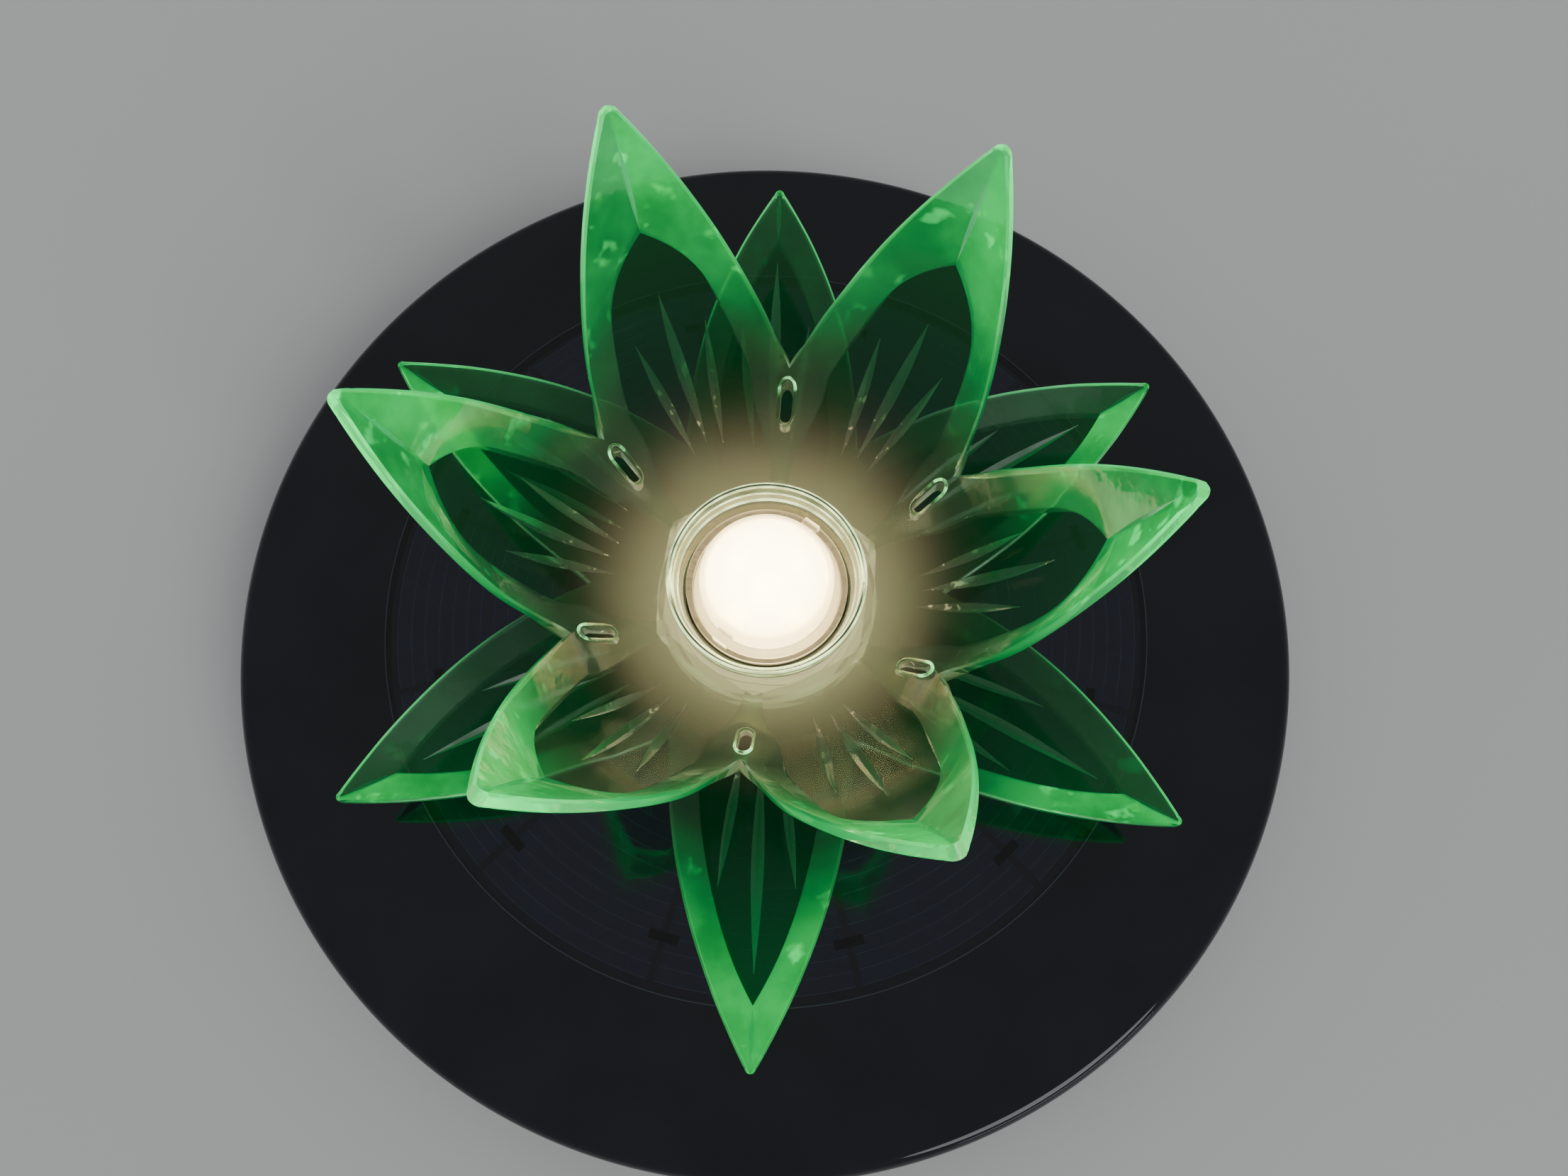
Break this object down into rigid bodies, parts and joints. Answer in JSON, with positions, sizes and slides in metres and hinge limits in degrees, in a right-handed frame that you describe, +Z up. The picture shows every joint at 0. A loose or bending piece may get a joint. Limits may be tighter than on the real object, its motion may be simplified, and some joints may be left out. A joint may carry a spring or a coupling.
{
  "type": "floating pool light",
  "caption": "Lotus-shaped floating pool light: two tiers of clear petals on a cup round a domed lamp, on a round float with a solar ring under a glossy deck.",
  "frame": {"origin": "middle of the float's flat underside", "axes": "+Z up through the lamp; one lower petal points along -Y; the battery lies along X"},
  "size_m": [0.184, 0.184, 0.0884],
  "materials": {
    "hull_black": "fine moulded texture",
    "deck_smoke": "smoked clear, polished",
    "petal_clear": "clear with green edge glow",
    "cup_clear": "clear, polished",
    "lens_clear": "clear dome, lit from inside",
    "seal_rubber": "matt",
    "cell_blue": "crystalline under film",
    "tab_silver": "tinned ribbon",
    "carrier_black": "satin",
    "turret_black": "glossy moulded",
    "board_green": "solder mask",
    "board_white": "white solder mask",
    "chip_black": "moulded epoxy",
    "led_core": "lit phosphor",
    "screw_steel": "stainless",
    "cell_jacket": "shrink sleeve",
    "contact_nickel": "nickel plated",
    "coil_copper": "enamelled copper and ferrite",
    "can_aluminium": "drawn can",
    "lead_red": "pvc insulation",
    "button_grey": "satin"
  },
  "bodies": {
    "float": {"hull": "hull_black", "deck_cover": "deck_smoke", "deck_seal": "seal_rubber", "hull_screws": "screw_steel", "turret_screws": "screw_steel", "solar_backing": "carrier_black", "solar_cells": "cell_blue", "cell_tabs": "tab_silver", "turret": "turret_black", "led_board": "board_white", "led_chips": "led_core", "led_lens": "lens_clear", "battery_tray": "carrier_black", "battery_cells": "cell_jacket", "contact_plates": "contact_nickel", "contact_springs": "contact_nickel", "control_board": "board_green", "board_screws": "screw_steel", "controller_chip": "chip_black", "boost_coil": "coil_copper", "storage_capacitor": "can_aluminium", "switch_body": "chip_black", "button_seal": "seal_rubber", "led_leads": "lead_red", "solar_leads": "lead_red", "battery_leads": "lead_red"},
    "cup": {"flower_cup": "cup_clear", "tier_clip": "cup_clear"},
    "upper_tier": {"upper_petals": "petal_clear"},
    "lower_tier": {"lower_petals": "petal_clear"},
    "button": {"power_button": "button_grey", "switch_plunger": "chip_black"},
    "hatch": {"battery_hatch": "hull_black", "hatch_seal": "seal_rubber", "hatch_screws": "screw_steel"}
  },
  "joints": [
    {"name": "flower_lift", "type": "slide", "parent": "float", "child": "cup", "axis": [0, 0, 1], "range_m": [0, 0.03]},
    {"name": "upper_petals_turn", "type": "hinge", "parent": "cup", "child": "upper_tier", "pos_m": [0, 0, 0.029], "axis": [0, 0, 1], "continuous": true},
    {"name": "lower_petals_turn", "type": "hinge", "parent": "cup", "child": "lower_tier", "pos_m": [0, 0, 0.0237], "axis": [0, 0, 1], "continuous": true},
    {"name": "power_button_press", "type": "slide", "parent": "float", "child": "button", "axis": [0, 0, 1], "range_m": [0, 0.0012], "stiffness_N_per_m": 400},
    {"name": "battery_hatch_out", "type": "slide", "parent": "float", "child": "hatch", "axis": [0, 0, -1], "range_m": [0, 0.025]}
  ]
}
